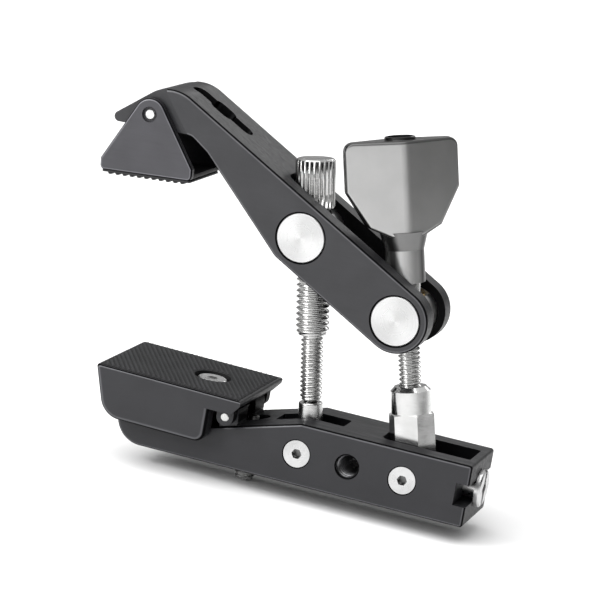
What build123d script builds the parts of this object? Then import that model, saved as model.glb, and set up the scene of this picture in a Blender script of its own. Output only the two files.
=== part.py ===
from build123d import *

import os
from math import acos, atan2, cos, degrees, hypot, radians, sin

# Super clamp: a lower arm, an upper arm with a rear fork, two adjusting screws that join them
# through cross barrels, and a swivelling jaw at the nose of each arm.
#
# Origin: the centre of the 1/4"-20 thread through the lower arm, midway between the arm's sides.
# +X runs along the lower arm towards its grooved rear end, +Y along the thread, +Z square to the
# arm's flat base.  Everything is symmetric about the plane Y = 0 apart from the turned wing nut.
# A pair of numbers such as (x, z) is a place on that plane of symmetry.

# ---- threads and standard fasteners (radii; screws are modelled at their rolled crests) ----
QUARTER_R = 3.1          # 1/4"-20 crest
QUARTER_HOLE_R = 3.175   # 1/4" wall of a tapped hole, to the root of its thread
THREE_EIGHTHS_R = 4.65   # 3/8"-16 crest
M6_R = 2.95
M4_R = 2.0
M4_HEAD_R = 3.75         # flat head, 90 degree
RUNNING = 0.08           # radial clearance of a shaft that turns or slides in a hole

# ---- joints, as (x, z) ----
MID_PIVOT = (-14.55, 0.0)
REAR_PIVOT = (15.6, 0.0)
MID_BARREL = (-23.35, 58.4)
REAR_BARREL = (6.15, 42.1)
PAD_HINGE = (-35.15, 6.2)
JAW_PIN = (-70.9, 82.3)

# ---- lower arm ----
ARM_WIDTH = 23.5
ARM_BASE_Z = -8.8
ARM_TOP_Z = 8.5
ARM_REAR_X = 33.95
ARM_NOSE_X = -67.05
NOSE_TOP_Z = 0.2
NOSE_RADIUS = 7.5
SHOULDER_SLOPE = 0.279   # fall of the top face from the hump towards the nose
ARM_EDGE = 0.9           # rounding of the long edges
MID_SLOT = (19.4, 7.6)   # length, width
REAR_SLOT_CORNER = 2.4
REAR_SLOT_FRONT_X = 6.45
REAR_SLOT_REAR_X = 31.65
REAR_SLOT_STEP_X = 23.4
REAR_SLOT_WIDTH = 11.6
REAR_SLOT_STEP_Z = 4.0
SLOT_FLOOR_Z = -6.6
FRONT_SLOT_REAR_X = -27.1
FRONT_SLOT_FRONT_X = -39.5
FRONT_SLOT_WIDTH = 6.4
FRONT_SLOT_FLOOR_Z = 0.6
KNUCKLE_RADIUS = 2.5
GROOVE_HEIGHT = 6.2
GROOVE_DEPTH = 3.6
PIVOT_PIN_R = 3.0
PIVOT_PIN_HALF = 9.2
PIVOT_SCREW_LENGTH = 7.0
PIVOT_SCREW_SINK = 0.15  # how far a screw head sits below the arm's side
PIVOT_SCREW_GAP = 0.3    # ring between the head and the rim of its countersink
SET_SCREW_X = -31.7
SET_SCREW_TOP = 3.0
SET_SCREW_TIP_R = 1.6
SET_SCREW_DOG = 1.5
SET_SCREW_STUB = 4.8     # how far the set screw stands out below the base

# ---- lower jaw ----
PAD_TILT = -1.1          # the jaw's rest attitude about its hinge
PAD_FRONT = -38.4        # ends of the top plate, measured from the hinge pin
PAD_REAR = 4.6
PAD_TOP = 5.9
PAD_PLATE = 2.6
PAD_WIDTH = 35.4
PAD_CHANNEL = 24.4       # inside width between the skirts
PAD_CORNER = 1.5         # rounding of the corners seen from above
SKIRT_BOTTOM = -8.3
SKIRT_SLOPE = 4.3        # how far the front end falls back down to the skirt's edge
SKIRT_REAR = -4.2
NOTCH_TOP = 1.7
LUG_RADIUS = 2.4
LUG_HALF_WIDTH = 15.2
WEB_CLEARANCE = 0.3      # between the rear web and the arm's knuckle
BOSS_R = 4.4             # boss under the pad screw
BOSS_DEPTH = 2.6
HINGE_PIN_R = 1.2
PAD_FACING = 1.3         # rubber thickness
PAD_SCREW_X = -10.2
PAD_RECESS_R = 5.2
PAD_SEAT = 0.5           # depth of the screw's seat below the rubber
PAD_HEAD = 1.5
PAD_HEAD_R = 4.0
PAD_EDGE = 0.7

# ---- upper arm, drawn along the line through its two barrels ----
FORK_RADIUS = 9.0
UPPER_WIDTH = 24.0
FORK_SLOT = 12.0
UPPER_EDGE = 0.9         # rounding of the outline's edges
FORK_SLOT_END = 14.2     # how far the slot runs past the front barrel
BARREL_R = 6.7
BARREL_HALF = 11.95
BARREL_MOUTH = 0.35      # bevel round each barrel's bore
TONGUE_WIDTH = 19.2
KEY_SLOT_CENTRE = 40.35
KEY_SLOT = (20.9, 4.8)   # length, width
KEY_SLOT_WIDE = (7.4, 7.8)

# ---- upper jaw ----
JAW_TILT = 4.5
JAW_APEX_R = 4.4
JAW_HALF_LENGTH = 13.3
JAW_SIDE_Z = -13.4       # where the sloping edges meet the short end edges
JAW_FACE_Z = -16.6
JAW_WIDTH = 24.0
JAW_PLATE = 2.1
JAW_EDGE = 0.7
JAW_PIN_SEAT = (2.15, 0.9)  # radius, depth
JAW_WEB = 1.6
JAW_FACING = 0.5         # sheet under the ridges
JAW_PIN_R = 1.45

# ---- front screw, heights along its own axis from the pivot ----
COLLAR_R = 3.3           # at its top
COLLAR_FOOT_R = 3.7      # of the same cone, at the pivot
COLLAR_TOP = 12.2
COLLAR_EYE_R = 4.7
COLLAR_EYE_HALF = 2.9
COLLAR_EYE_CLEARANCE = 0.3
NECK_R = 1.9
NECK_FOOT = 7.6
THIN_FOOT = 12.9
THIN_TOP = 30.6
THICK_FOOT = 31.7
KNOB_FOOT = 65.5
KNOB_BORE = 9.0
KNOB_TOP = 79.2
KNOB_R = 5.45
MID_FLAT = 6.2           # spot face above the barrel's centre

# ---- rear rod and wing nut, heights along the rod from the pivot ----
HEX_AF = 11.1
HEX_TOP = 16.4
HEX_BEVEL = 0.45         # fall of the hexagon's bevelled corners
ROD_SOCKET = 8.0         # depth of the rod in the hexagon
COUPLING_TOP = 23.6
ROD_TOP = 82.0
REAR_FLAT = 4.7
REAR_FLAT_LOW = 5.0
BUSH_R = 4.75
BUSH_FLANGE_R = 5.0
NUT_NECK_R = 4.0
NUT_NECK_FOOT = 36.6
CLIP_FOOT = 37.2
CLIP_THICK = 0.7
STEM_FOOT = 52.0
STEM_R = 5.3
WING_FOOT = 64.4
WING_TOP = 90.3
WING_HALF = 15.5
WING_RIDGE = 6.4
WING_TIP = 1.5
WING_EDGE = 0.9
WING_TURN = 30.0         # the wings' rest attitude about the rod
WING_HOLE_R = 3.45
WING_RIM_R = 4.2         # rolled rim round the hole at the top
WING_RIM = 0.9
STEM_FLARE = 1.3

# ---- end screw ----
END_HEAD_R = 5.2
END_HEAD = 1.5
END_SHANK = 9.0


def place(x, z, y=0.0):
    return (x, y, z)


def side_plane(origin=(0.0, 0.0), tilt=0.0):
    """Plane of symmetry seen from -Y: local X along the object at a tilt, local Y upwards."""
    along = (cos(radians(tilt)), 0, sin(radians(tilt)))
    return Plane(origin=place(*origin), x_dir=along, z_dir=(0, -1, 0))


def lean_of(foot, head):
    """Lean of the line from foot to head away from upright, towards -X, in degrees."""
    return degrees(atan2(foot[0] - head[0], head[1] - foot[1]))


def screw_plane(foot, lean, height=0.0):
    """Plane square to a leaning screw at a height along it."""
    up = (-sin(radians(lean)), 0, cos(radians(lean)))
    centre = (foot[0] + height * up[0], 0, foot[1] + height * up[2])
    return Plane(origin=centre, x_dir=(cos(radians(lean)), 0, sin(radians(lean))), z_dir=up)


MID_LEAN = lean_of(MID_PIVOT, MID_BARREL)
MID_LENGTH = hypot(MID_BARREL[0] - MID_PIVOT[0], MID_BARREL[1] - MID_PIVOT[1])
REAR_LEAN = lean_of(REAR_PIVOT, REAR_BARREL)
REAR_LENGTH = hypot(REAR_BARREL[0] - REAR_PIVOT[0], REAR_BARREL[1] - REAR_PIVOT[1])
BARREL_SPACING = hypot(MID_BARREL[0] - REAR_BARREL[0], MID_BARREL[1] - REAR_BARREL[1])
ARM_PITCH = 180 - degrees(atan2(MID_BARREL[1] - REAR_BARREL[1], REAR_BARREL[0] - MID_BARREL[0]))


def arm_plane():
    """Side plane of the upper arm: local X from the front barrel to the nose, local Y outwards."""
    along = (cos(radians(ARM_PITCH)), 0, sin(radians(ARM_PITCH)))
    return Plane(origin=place(*MID_BARREL), x_dir=along, z_dir=(0, 1, 0))


def on_mid(height):
    return screw_plane(MID_PIVOT, MID_LEAN, height)


def on_rear(height):
    return screw_plane(REAR_PIVOT, REAR_LEAN, height)


# ===================== lower arm =====================
NOSE_STEP_X = MID_PIVOT[0] - (ARM_TOP_Z - NOSE_TOP_Z) / SHOULDER_SLOPE

with BuildPart() as lower_arm:
    with BuildSketch(side_plane()) as arm_profile:
        with BuildLine():
            Polyline(
                (ARM_REAR_X, ARM_BASE_Z),
                (ARM_REAR_X, ARM_TOP_Z),
                (MID_PIVOT[0], ARM_TOP_Z),
                (NOSE_STEP_X, NOSE_TOP_Z),
                (ARM_NOSE_X, NOSE_TOP_Z),
                (ARM_NOSE_X, ARM_BASE_Z),
                close=True,
            )
        make_face()
        fillet(arm_profile.vertices().group_by(Axis.X)[0].sort_by(Axis.Y)[0], NOSE_RADIUS)
        fillet(arm_profile.vertices().group_by(Axis.X)[0].sort_by(Axis.Y)[-1], 1.2)
        fillet(arm_profile.vertices().group_by(Axis.X)[-1], 0.8)
    extrude(amount=ARM_WIDTH / 2, both=True)
    side_faces = lower_arm.faces().filter_by(Axis.Y)
    fillet(side_faces.edges(), ARM_EDGE)
    with BuildSketch(side_plane(PAD_HINGE)):
        Circle(KNUCKLE_RADIUS)
        with Locations((0, -KNUCKLE_RADIUS)):
            Rectangle(2 * KNUCKLE_RADIUS, 2 * KNUCKLE_RADIUS)
    extrude(amount=ARM_WIDTH / 2 - ARM_EDGE, both=True)
    # slots open at the top
    with BuildSketch(Plane.XY.offset(SLOT_FLOOR_Z)) as mid_slot:
        with Locations((MID_PIVOT[0], 0)):
            Rectangle(*MID_SLOT)
        fillet(mid_slot.vertices(), 0.8)
    extrude(amount=ARM_TOP_Z - SLOT_FLOOR_Z + 1, mode=Mode.SUBTRACT)
    with BuildSketch(Plane.XY.offset(SLOT_FLOOR_Z)) as rear_slot:
        with Locations(((REAR_SLOT_FRONT_X + REAR_SLOT_STEP_X) / 2, 0)):
            Rectangle(REAR_SLOT_STEP_X - REAR_SLOT_FRONT_X, REAR_SLOT_WIDTH)
        fillet(rear_slot.vertices(), REAR_SLOT_CORNER)
    extrude(amount=ARM_TOP_Z - SLOT_FLOOR_Z + 1, mode=Mode.SUBTRACT)
    with BuildSketch(Plane.XY.offset(REAR_SLOT_STEP_Z)) as rear_shelf:
        shelf_front_x = (REAR_SLOT_FRONT_X + REAR_SLOT_STEP_X) / 2
        with Locations(((shelf_front_x + REAR_SLOT_REAR_X) / 2, 0)):
            Rectangle(REAR_SLOT_REAR_X - shelf_front_x, REAR_SLOT_WIDTH)
        fillet(rear_shelf.vertices().group_by(Axis.X)[-1], 0.6)
    extrude(amount=ARM_TOP_Z - REAR_SLOT_STEP_Z + 1, mode=Mode.SUBTRACT)
    with BuildSketch(Plane.XY.offset(FRONT_SLOT_FLOOR_Z)):
        with Locations(((FRONT_SLOT_REAR_X + FRONT_SLOT_FRONT_X) / 2, 0)):
            SlotOverall(FRONT_SLOT_REAR_X - FRONT_SLOT_FRONT_X, FRONT_SLOT_WIDTH)
    extrude(amount=ARM_TOP_Z + 2, mode=Mode.SUBTRACT)
    # cross holes: pivots with a countersink in each side, hinge pin, side thread
    for pivot in (MID_PIVOT, REAR_PIVOT):
        with BuildSketch(side_plane(pivot)):
            Circle(PIVOT_PIN_R)
        extrude(amount=PIVOT_PIN_HALF, both=True, mode=Mode.SUBTRACT)
    for side in (-1, 1):
        face = Plane(origin=(0, side * ARM_WIDTH / 2, 0), x_dir=(-side, 0, 0), z_dir=(0, side, 0))
        with Locations(face):
            with Locations(*[(-side * pivot[0], pivot[1]) for pivot in (MID_PIVOT, REAR_PIVOT)]):
                CounterSinkHole(M4_R, M4_HEAD_R + PIVOT_SCREW_GAP, depth=4.0, counter_sink_angle=90)
    with BuildSketch(side_plane()):
        Circle(QUARTER_HOLE_R)
    extrude(amount=ARM_WIDTH, both=True, mode=Mode.SUBTRACT)
    side_mouths = lower_arm.edges().filter_by(GeomType.CIRCLE).filter_by(
        lambda edge: abs(edge.radius - QUARTER_HOLE_R) < 0.01 and abs(edge.arc_center.X) < 0.1
    )
    chamfer(side_mouths, 0.35)
    with BuildSketch(side_plane(PAD_HINGE)):
        Circle(HINGE_PIN_R + RUNNING)
    extrude(amount=ARM_WIDTH, both=True, mode=Mode.SUBTRACT)
    # rear end: a groove across it and the end screw's tapped hole
    with BuildSketch(side_plane((ARM_REAR_X, 0))):
        Rectangle(2 * GROOVE_DEPTH, GROOVE_HEIGHT)
    extrude(amount=ARM_WIDTH, both=True, mode=Mode.SUBTRACT)
    with BuildSketch(Plane.YZ.offset(ARM_REAR_X - END_SHANK)):
        Circle(QUARTER_R)
    extrude(amount=END_SHANK + 1, mode=Mode.SUBTRACT)
    # set screw's tapped hole through the base
    with BuildSketch(Plane.XY.offset(ARM_BASE_Z - 1)):
        with Locations((SET_SCREW_X, 0)):
            Circle(M6_R)
    extrude(amount=12, mode=Mode.SUBTRACT)
lower_arm.part.label = "lower_arm"


def pivot_pin(pivot, name):
    """Sleeve pin across a slot, tapped M4 at both ends."""
    with BuildPart() as pin:
        with BuildSketch(side_plane(pivot)):
            Circle(PIVOT_PIN_R)
        extrude(amount=PIVOT_PIN_HALF, both=True)
        chamfer(pin.edges().filter_by(GeomType.CIRCLE), 0.3)
        with BuildSketch(side_plane(pivot)):
            Circle(M4_R)
        extrude(amount=ARM_WIDTH, both=True, mode=Mode.SUBTRACT)
    pin.part.label = name
    return pin


mid_pivot_pin = pivot_pin(MID_PIVOT, "mid_pivot_pin")
rear_pivot_pin = pivot_pin(REAR_PIVOT, "rear_pivot_pin")

# M4 flat head screws, two in each side of the arm
M4_HEAD_DEPTH = M4_HEAD_R - M4_R
with BuildPart() as pivot_screws:
    for pivot in (MID_PIVOT, REAR_PIVOT):
        for side in (-1, 1):
            outer = ARM_WIDTH / 2 - PIVOT_SCREW_SINK
            along = Plane(origin=place(*pivot), x_dir=(1, 0, 0), z_dir=(0, side, 0))
            with BuildSketch(Plane(origin=place(*pivot), x_dir=(0, side, 0), z_dir=(-1, 0, 0))):
                with BuildLine():
                    Polyline(
                        (outer - PIVOT_SCREW_LENGTH, 0),
                        (outer, 0),
                        (outer, M4_HEAD_R),
                        (outer - 0.1, M4_HEAD_R),
                        (outer - 0.1 - M4_HEAD_DEPTH, M4_R),
                        (outer - PIVOT_SCREW_LENGTH, M4_R),
                        close=True,
                    )
                make_face()
            revolve(axis=Axis(place(*pivot), (0, side, 0)), revolution_arc=360)
            with BuildSketch(along.offset(outer - 1.7)):
                RegularPolygon(radius=1.25, side_count=6, major_radius=False)
            extrude(amount=2, mode=Mode.SUBTRACT)
pivot_screws.part.label = "pivot_screws"

# coin-slot screw in the rear end
with BuildPart() as end_screw:
    with BuildSketch(Plane.YZ.offset(ARM_REAR_X - END_SHANK + 0.2)):
        Circle(QUARTER_R - 0.02)
    extrude(amount=END_SHANK)
    with BuildSketch(Plane.YZ.offset(ARM_REAR_X + 0.1)):
        Circle(END_HEAD_R)
    extrude(amount=END_HEAD)
    chamfer(end_screw.faces().sort_by(Axis.X)[-1].edges(), 0.4)
    with BuildSketch(Plane.YZ.offset(ARM_REAR_X + 0.1 + END_HEAD)):
        Rectangle(1.7, 3 * END_HEAD_R)
    extrude(amount=-0.9, mode=Mode.SUBTRACT)
    with BuildSketch(Plane.YZ.offset(ARM_REAR_X + 0.1 + END_HEAD)):
        RegularPolygon(radius=1.6, side_count=6, major_radius=False)
    extrude(amount=-3.5, mode=Mode.SUBTRACT)
end_screw.part.label = "end_screw"

# M6 set screw that stops the lower jaw's back edge
with BuildPart() as pad_set_screw:
    set_screw_foot = ARM_BASE_Z - SET_SCREW_STUB
    with BuildSketch(Plane.XY.offset(set_screw_foot)):
        with Locations((SET_SCREW_X, 0)):
            Circle(M6_R - 0.03)
    extrude(amount=SET_SCREW_TOP - set_screw_foot)
    chamfer(pad_set_screw.faces().sort_by(Axis.Z)[0].edges(), 0.6)
    with BuildSketch(Plane.XY.offset(SET_SCREW_TOP)):
        with Locations((SET_SCREW_X, 0)):
            Circle(SET_SCREW_TIP_R)
    extrude(amount=SET_SCREW_DOG)
    with BuildSketch(Plane.XY.offset(set_screw_foot)):
        with Locations((SET_SCREW_X, 0)):
            RegularPolygon(radius=1.5, side_count=6, major_radius=False)
    extrude(amount=3.0, mode=Mode.SUBTRACT)
pad_set_screw.part.label = "pad_set_screw"


# ===================== lower jaw, drawn from its hinge pin =====================
def pad_plane():
    return side_plane(PAD_HINGE, PAD_TILT)


def pad_top_plane(height):
    """Plane parallel to the jaw's face, at a height above the hinge pin."""
    base = pad_plane()
    return Plane(origin=base.origin + base.y_dir * height, x_dir=base.x_dir, z_dir=base.y_dir)


CEILING = PAD_TOP - PAD_PLATE
with BuildPart() as lower_pad:
    with BuildSketch(pad_plane()) as pad_profile:
        with BuildLine():
            Polyline(
                (PAD_REAR, PAD_TOP),
                (PAD_FRONT, PAD_TOP),
                (PAD_FRONT + SKIRT_SLOPE, SKIRT_BOTTOM),
                (SKIRT_REAR, SKIRT_BOTTOM),
                (SKIRT_REAR, NOTCH_TOP),
                (PAD_REAR - 2.4, NOTCH_TOP),
                (PAD_REAR - 0.3, PAD_TOP - 1.6),
                close=True,
            )
        make_face()
        fillet(pad_profile.vertices().group_by(Axis.Y)[0].sort_by(Axis.X)[0], 6.5)
        fillet(pad_profile.vertices().group_by(Axis.Y)[0].sort_by(Axis.X)[-1], 3.0)
    extrude(amount=PAD_WIDTH / 2, both=True)
    pad_sides = lower_pad.faces().filter_by(Axis.Y)
    fillet(pad_sides.edges().sort_by(Axis.X)[0:2], PAD_CORNER)
    fillet(lower_pad.faces().sort_by(Axis.Z)[-1].edges(), PAD_EDGE)
    with BuildSketch(pad_plane()):
        Circle(LUG_RADIUS)
        with Locations((-LUG_RADIUS, 0)):
            Rectangle(2 * LUG_RADIUS, PAD_TOP - PAD_PLATE, align=(Align.MIN, Align.MIN))
    extrude(amount=LUG_HALF_WIDTH, both=True)
    with BuildSketch(pad_plane()):
        with Locations((PAD_REAR, CEILING)):
            Rectangle(200, 100, align=(Align.CENTER, Align.MAX))
    extrude(amount=PAD_CHANNEL / 2, both=True, mode=Mode.SUBTRACT)
    # a web closes the rear end above the knuckle
    with BuildSketch(pad_plane()) as web_profile:
        with BuildLine():
            Polyline(
                (0, CEILING + 0.1),
                (0, NOTCH_TOP),
                (PAD_REAR - 2.4, NOTCH_TOP),
                (PAD_REAR - 1.1, CEILING + 0.1),
                close=True,
            )
        make_face()
        Circle(KNUCKLE_RADIUS + WEB_CLEARANCE, mode=Mode.SUBTRACT)
    extrude(amount=PAD_CHANNEL / 2 + 0.1, both=True)
    with BuildSketch(pad_top_plane(CEILING)):
        with Locations((PAD_SCREW_X, 0)):
            Circle(BOSS_R)
    extrude(amount=-BOSS_DEPTH)
    # seat of the rubber facing
    with BuildSketch(pad_top_plane(PAD_TOP)):
        with Locations(((PAD_FRONT + PAD_REAR) / 2, 0)):
            RectangleRounded(PAD_REAR - PAD_FRONT - 2.0, PAD_WIDTH - 2.0, 0.6)
    extrude(amount=-PAD_FACING, mode=Mode.SUBTRACT)
    with Locations(pad_top_plane(PAD_TOP)):
        with Locations((PAD_SCREW_X, 0)):
            Hole(PAD_RECESS_R, depth=PAD_FACING + PAD_SEAT)
            Hole(M4_R, depth=12)
    with BuildSketch(pad_plane()):
        Circle(HINGE_PIN_R)
    extrude(amount=LUG_HALF_WIDTH + 0.3, both=True, mode=Mode.SUBTRACT)
lower_pad.part.label = "lower_pad"

with BuildPart() as lower_pad_rubber:
    with BuildSketch(pad_top_plane(PAD_TOP - PAD_FACING)):
        with Locations(((PAD_FRONT + PAD_REAR) / 2, 0)):
            RectangleRounded(PAD_REAR - PAD_FRONT - 2.1, PAD_WIDTH - 2.1, 0.6)
        with Locations((PAD_SCREW_X, 0)):
            Circle(PAD_RECESS_R, mode=Mode.SUBTRACT)
    extrude(amount=PAD_FACING + 0.1)
lower_pad_rubber.part.label = "lower_pad_rubber"

with BuildPart() as lower_pad_screw:
    head_seat = PAD_TOP - PAD_FACING - PAD_SEAT
    with BuildSketch(pad_top_plane(head_seat)):
        with Locations((PAD_SCREW_X, 0)):
            Circle(PAD_HEAD_R)
    extrude(amount=PAD_HEAD)
    chamfer(lower_pad_screw.faces().sort_by(Axis.Z)[-1].edges(), 0.25)
    with BuildSketch(pad_top_plane(head_seat)):
        with Locations((PAD_SCREW_X, 0)):
            Circle(M4_R)
    extrude(amount=-3.0)
    with BuildSketch(pad_top_plane(head_seat + PAD_HEAD)):
        with Locations((PAD_SCREW_X, 0)):
            RegularPolygon(radius=1.25, side_count=6, major_radius=False)
    extrude(amount=-1.3, mode=Mode.SUBTRACT)
lower_pad_screw.part.label = "lower_pad_screw"

with BuildPart() as pad_hinge_pin:
    with BuildSketch(side_plane(PAD_HINGE)):
        Circle(HINGE_PIN_R)
    extrude(amount=LUG_HALF_WIDTH + 0.2, both=True)
    chamfer(pad_hinge_pin.edges().filter_by(GeomType.CIRCLE), 0.2)
pad_hinge_pin.part.label = "pad_hinge_pin"


# ===================== upper arm =====================
TONGUE_CORNER = (54.0, FORK_RADIUS)
TONGUE_TIP = (63.1, -12.3)
TONGUE_HEEL = (40.5, 1.0)
BELLY_FRONT = (34.3, 0.4)
BELLY_REAR = (2.5, -8.8)
PROFILE_FILLETS = (
    (TONGUE_CORNER, 11.0),
    (TONGUE_TIP, 1.4),
    (TONGUE_HEEL, 3.0),
    (BELLY_FRONT, 6.0),
    (BELLY_REAR, 4.0),
)

with BuildPart() as upper_arm:
    with BuildSketch(arm_plane()) as upper_profile:
        with BuildLine():
            fork_low = (-BARREL_SPACING, -8.8)
            fork_end = (-BARREL_SPACING - 8.9, 0.1)
            fork_high = (-BARREL_SPACING, FORK_RADIUS)
            ThreePointArc(fork_low, fork_end, fork_high)
            Polyline(
                fork_high, TONGUE_CORNER, TONGUE_TIP, TONGUE_HEEL, BELLY_FRONT, BELLY_REAR, fork_low
            )
        make_face()
        for corner, radius in PROFILE_FILLETS:
            fillet(upper_profile.vertices().sort_by_distance((*corner, 0))[0], radius)
    extrude(amount=UPPER_WIDTH / 2, both=True)
    fillet(upper_arm.faces().filter_by(Axis.Y).edges(), UPPER_EDGE)
    # the sides fall back to a narrow tongue beyond a line parallel to the jaw's edge
    for side in (-1, 1):
        wall = TONGUE_WIDTH / 2
        with BuildSketch(arm_plane().offset(side * wall)) as nose_side:
            with BuildLine():
                Polyline((54.6, 20), (54.0, 6.2), (40.0, 0.1), (34.0, -8), (80, -30), (80, 20), close=True)
            make_face()
            fillet(nose_side.vertices().sort_by_distance((47, 3, 0))[0:2], 3.0)
        extrude(amount=side * 10, mode=Mode.SUBTRACT)
    # fork slot, open at the rear
    slot_plane = Plane(
        origin=place(*MID_BARREL), x_dir=arm_plane().x_dir, z_dir=arm_plane().y_dir
    )
    slot_rear = -BARREL_SPACING - 2 * FORK_RADIUS
    with BuildSketch(slot_plane.offset(-20)) as fork_slot:
        with Locations(((FORK_SLOT_END + slot_rear) / 2, 0)):
            Rectangle(FORK_SLOT_END - slot_rear, FORK_SLOT)
        fillet(fork_slot.vertices().group_by(Axis.X)[-1], 2.4)
    extrude(amount=40, mode=Mode.SUBTRACT)
    # keyhole slot near the nose
    with BuildSketch(slot_plane.offset(-20)) as key_slot:
        with Locations((KEY_SLOT_CENTRE, 0)):
            SlotOverall(*KEY_SLOT)
            RectangleRounded(*KEY_SLOT_WIDE, 2.4)
    extrude(amount=40, mode=Mode.SUBTRACT)
    # cross bores for the two barrels, with a fine bevel at each mouth, and the jaw pin's hole
    with BuildSketch(side_plane()):
        with Locations(MID_BARREL, REAR_BARREL):
            Circle(BARREL_R + RUNNING)
    extrude(amount=UPPER_WIDTH, both=True, mode=Mode.SUBTRACT)
    barrel_mouths = upper_arm.edges().filter_by(GeomType.CIRCLE).filter_by(
        lambda edge: abs(edge.radius - BARREL_R - RUNNING) < 0.01
        and abs(abs(edge.center().Y) - UPPER_WIDTH / 2) < 0.1
    )
    chamfer(barrel_mouths, BARREL_MOUTH)
    with BuildSketch(side_plane(JAW_PIN)):
        Circle(JAW_PIN_R + RUNNING)
    extrude(amount=UPPER_WIDTH, both=True, mode=Mode.SUBTRACT)
upper_arm.part.label = "upper_arm"

# ===================== upper jaw, drawn from its pin =====================
def jaw_plane():
    return side_plane(JAW_PIN, JAW_TILT)


def jaw_face_plane(height):
    base = jaw_plane()
    return Plane(origin=base.origin + base.y_dir * height, x_dir=base.x_dir, z_dir=base.y_dir)


# where the sloping edges touch the round apex
jaw_reach = hypot(JAW_HALF_LENGTH, JAW_SIDE_Z)
jaw_touch_angle = atan2(JAW_SIDE_Z, JAW_HALF_LENGTH) + acos(JAW_APEX_R / jaw_reach)
jaw_touch = (JAW_APEX_R * cos(jaw_touch_angle), JAW_APEX_R * sin(jaw_touch_angle))

with BuildPart() as upper_pad:
    with BuildSketch(jaw_plane()) as jaw_profile:
        with BuildLine():
            ThreePointArc(jaw_touch, (0, JAW_APEX_R), (-jaw_touch[0], jaw_touch[1]))
            Polyline(
                (-jaw_touch[0], jaw_touch[1]),
                (-JAW_HALF_LENGTH, JAW_SIDE_Z),
                (-JAW_HALF_LENGTH, JAW_FACE_Z),
                (JAW_HALF_LENGTH, JAW_FACE_Z),
                (JAW_HALF_LENGTH, JAW_SIDE_Z),
                jaw_touch,
            )
        make_face()
        fillet(jaw_profile.vertices().group_by(Axis.Y)[0], 1.3)
    extrude(amount=JAW_WIDTH / 2, both=True)
    fillet(upper_pad.faces().filter_by(Axis.Y).edges(), JAW_EDGE)
    with BuildSketch(jaw_plane()):
        with Locations((0, JAW_FACE_Z + JAW_WEB)):
            Rectangle(60, 60, align=(Align.CENTER, Align.MIN))
    extrude(amount=JAW_WIDTH / 2 - JAW_PLATE, both=True, mode=Mode.SUBTRACT)
    with BuildSketch(jaw_plane()):
        Circle(JAW_PIN_R)
    extrude(amount=JAW_WIDTH, both=True, mode=Mode.SUBTRACT)
    for side in (-1, 1):
        with BuildSketch(jaw_plane().offset(side * (JAW_WIDTH / 2 - JAW_PIN_SEAT[1]))):
            Circle(JAW_PIN_SEAT[0])
        extrude(amount=side * 2, mode=Mode.SUBTRACT)
upper_pad.part.label = "upper_pad"

RIDGE_PITCH = 2.1
RIDGE_COUNT = 11
with BuildPart() as upper_pad_rubber:
    with BuildSketch(jaw_face_plane(JAW_FACE_Z - 0.05)):
        RectangleRounded(2 * JAW_HALF_LENGTH - 1.0, JAW_WIDTH - 1.0, 0.8)
    extrude(amount=-JAW_FACING)
    with BuildSketch(jaw_plane()):
        with Locations((0, JAW_FACE_Z - 0.05 - JAW_FACING)):
            with GridLocations(RIDGE_PITCH, 1, RIDGE_COUNT, 1):
                Trapezoid(1.4, 0.6, 60, rotation=180, align=(Align.CENTER, Align.MIN))
    extrude(amount=JAW_WIDTH / 2 - 1.0, both=True)
upper_pad_rubber.part.label = "upper_pad_rubber"

with BuildPart() as upper_pad_pin:
    with BuildSketch(side_plane(JAW_PIN)):
        Circle(JAW_PIN_R)
    extrude(amount=JAW_WIDTH / 2 - 0.3, both=True)
    chamfer(upper_pad_pin.edges().filter_by(GeomType.CIRCLE), 0.25)
upper_pad_pin.part.label = "upper_pad_pin"

# ===================== cross barrels =====================
with BuildPart() as mid_barrel:
    with BuildSketch(side_plane(MID_BARREL)):
        Circle(BARREL_R)
    extrude(amount=BARREL_HALF, both=True)
    chamfer(mid_barrel.edges().filter_by(GeomType.CIRCLE), 0.2)
    with BuildSketch(on_mid(MID_LENGTH + MID_FLAT)):
        Rectangle(3 * BARREL_R, FORK_SLOT - 0.4)
    extrude(amount=BARREL_R, mode=Mode.SUBTRACT)
    with BuildSketch(on_mid(MID_LENGTH - 2 * BARREL_R)):
        Circle(THREE_EIGHTHS_R + RUNNING)
    extrude(amount=4 * BARREL_R, mode=Mode.SUBTRACT)
mid_barrel.part.label = "mid_barrel"

with BuildPart() as rear_barrel:
    with BuildSketch(side_plane(REAR_BARREL)):
        Circle(BARREL_R)
    extrude(amount=BARREL_HALF, both=True)
    chamfer(rear_barrel.edges().filter_by(GeomType.CIRCLE), 0.2)
    with BuildSketch(on_rear(REAR_LENGTH + REAR_FLAT)):
        Rectangle(3 * BARREL_R, FORK_SLOT - 0.4)
    extrude(amount=BARREL_R, mode=Mode.SUBTRACT)
    with BuildSketch(on_rear(REAR_LENGTH - REAR_FLAT_LOW)):
        Rectangle(3 * BARREL_R, FORK_SLOT - 0.4)
    extrude(amount=-BARREL_R, mode=Mode.SUBTRACT)
    with BuildSketch(on_rear(REAR_LENGTH - 2 * BARREL_R)):
        Circle(BUSH_R)
    extrude(amount=4 * BARREL_R, mode=Mode.SUBTRACT)
rear_barrel.part.label = "rear_barrel"

with BuildPart() as rear_barrel_bush:
    with BuildSketch(on_rear(REAR_LENGTH - REAR_FLAT_LOW)):
        Circle(BUSH_R)
    extrude(amount=REAR_FLAT + REAR_FLAT_LOW)
    with BuildSketch(on_rear(REAR_LENGTH + REAR_FLAT)):
        Circle(BUSH_FLANGE_R)
    extrude(amount=0.8)
    with BuildSketch(on_rear(REAR_LENGTH - BARREL_R)):
        Circle(NUT_NECK_R + RUNNING)
    extrude(amount=3 * BARREL_R, mode=Mode.SUBTRACT)
rear_barrel_bush.part.label = "rear_barrel_bush"

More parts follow.
